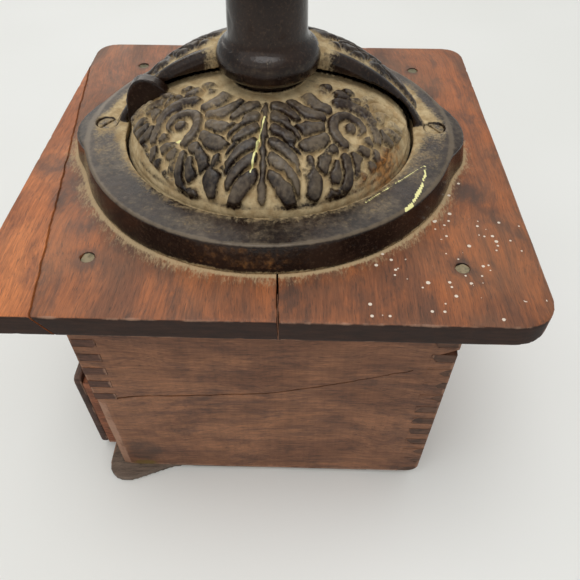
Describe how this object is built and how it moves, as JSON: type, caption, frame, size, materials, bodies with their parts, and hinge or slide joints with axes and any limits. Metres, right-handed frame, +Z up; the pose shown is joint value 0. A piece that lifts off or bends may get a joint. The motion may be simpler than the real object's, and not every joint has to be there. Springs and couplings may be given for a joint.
{
  "type": "coffee grinder mill",
  "caption": "Hand-cranked box coffee mill: finger-jointed wooden box with drawer, overhanging top board, cast-iron domed hopper with turning half cover and tall crank post.",
  "frame": {"origin": "centre of the box's footprint on the base board's underside, where the mill stands on a table", "axes": "+Z up along the crank shaft, -Y towards the drawer front, +X towards the turning hopper cover"},
  "size_m": [0.2211, 0.1993, 0.2759],
  "materials": {
    "box_wood": "worn oiled hardwood, satin",
    "top_wood": "worn varnished hardwood, reddish, satin",
    "base_wood": "aged dark hardwood, matt",
    "drawer_wood": "aged softwood, matt",
    "drawer_face_wood": "dark stained hardwood, satin",
    "knob_wood": "turned hardwood, polished by hand",
    "black_iron": "black paint over cast iron, worn, with dust and rust",
    "bare_iron": "bare grey cast iron, oiled",
    "screw_steel": "dull aged steel",
    "nail_iron": "aged wrought nail, dull"
  },
  "bodies": {
    "mill": {"base_board": "base_wood", "right_side_board": "box_wood", "left_side_board": "box_wood", "front_board": "box_wood", "back_board": "box_wood", "top_board": "top_wood", "top_board_split_strip": "top_wood", "top_board_nails": "nail_iron", "base_board_nails": "nail_iron", "hopper_casting": "black_iron", "casting_screws": "screw_steel", "grinding_bowl": "bare_iron", "bowl_screws": "screw_steel", "bearing_bridge": "bare_iron", "bridge_screws": "screw_steel", "adjuster_lock_nut": "screw_steel"},
    "drive": {"crank_shaft": "screw_steel", "grinding_burr": "bare_iron", "burr_pin": "screw_steel", "thrust_washer": "screw_steel", "crank_arm": "black_iron", "crank_nut": "screw_steel", "crank_knob_pin": "screw_steel", "crank_knob_washer": "screw_steel"},
    "knob": {"crank_knob": "knob_wood"},
    "cover": {"hopper_cover": "black_iron"},
    "adjuster": {"adjusting_screw": "screw_steel"},
    "drawer": {"drawer_face": "drawer_face_wood", "drawer_front": "drawer_wood", "drawer_left_side": "drawer_wood", "drawer_right_side": "drawer_wood", "drawer_back": "drawer_wood", "drawer_bottom": "drawer_wood", "drawer_brads": "nail_iron", "drawer_knob": "knob_wood", "drawer_knob_screw": "screw_steel"}
  },
  "joints": [
    {"name": "crank_turn", "type": "hinge", "parent": "mill", "child": "drive", "pos_m": [0, 0, 0.2], "axis": [0, 0, 1], "continuous": true},
    {"name": "knob_spin", "type": "hinge", "parent": "drive", "child": "knob", "pos_m": [-0.112, 0, 0.25], "axis": [0, 0, 1], "continuous": true},
    {"name": "cover_turn", "type": "hinge", "parent": "mill", "child": "cover", "pos_m": [0, 0, 0.16], "axis": [0, 0, 1], "range_deg": [0, 168]},
    {"name": "drawer_slide", "type": "slide", "parent": "mill", "child": "drawer", "axis": [0, -1, 0], "range_m": [-0.014, 0.09]},
    {"name": "adjuster_turn", "type": "hinge", "parent": "mill", "child": "adjuster", "pos_m": [0, 0, 0.07], "axis": [0, 0, 1], "range_deg": [-180, 180]}
  ]
}
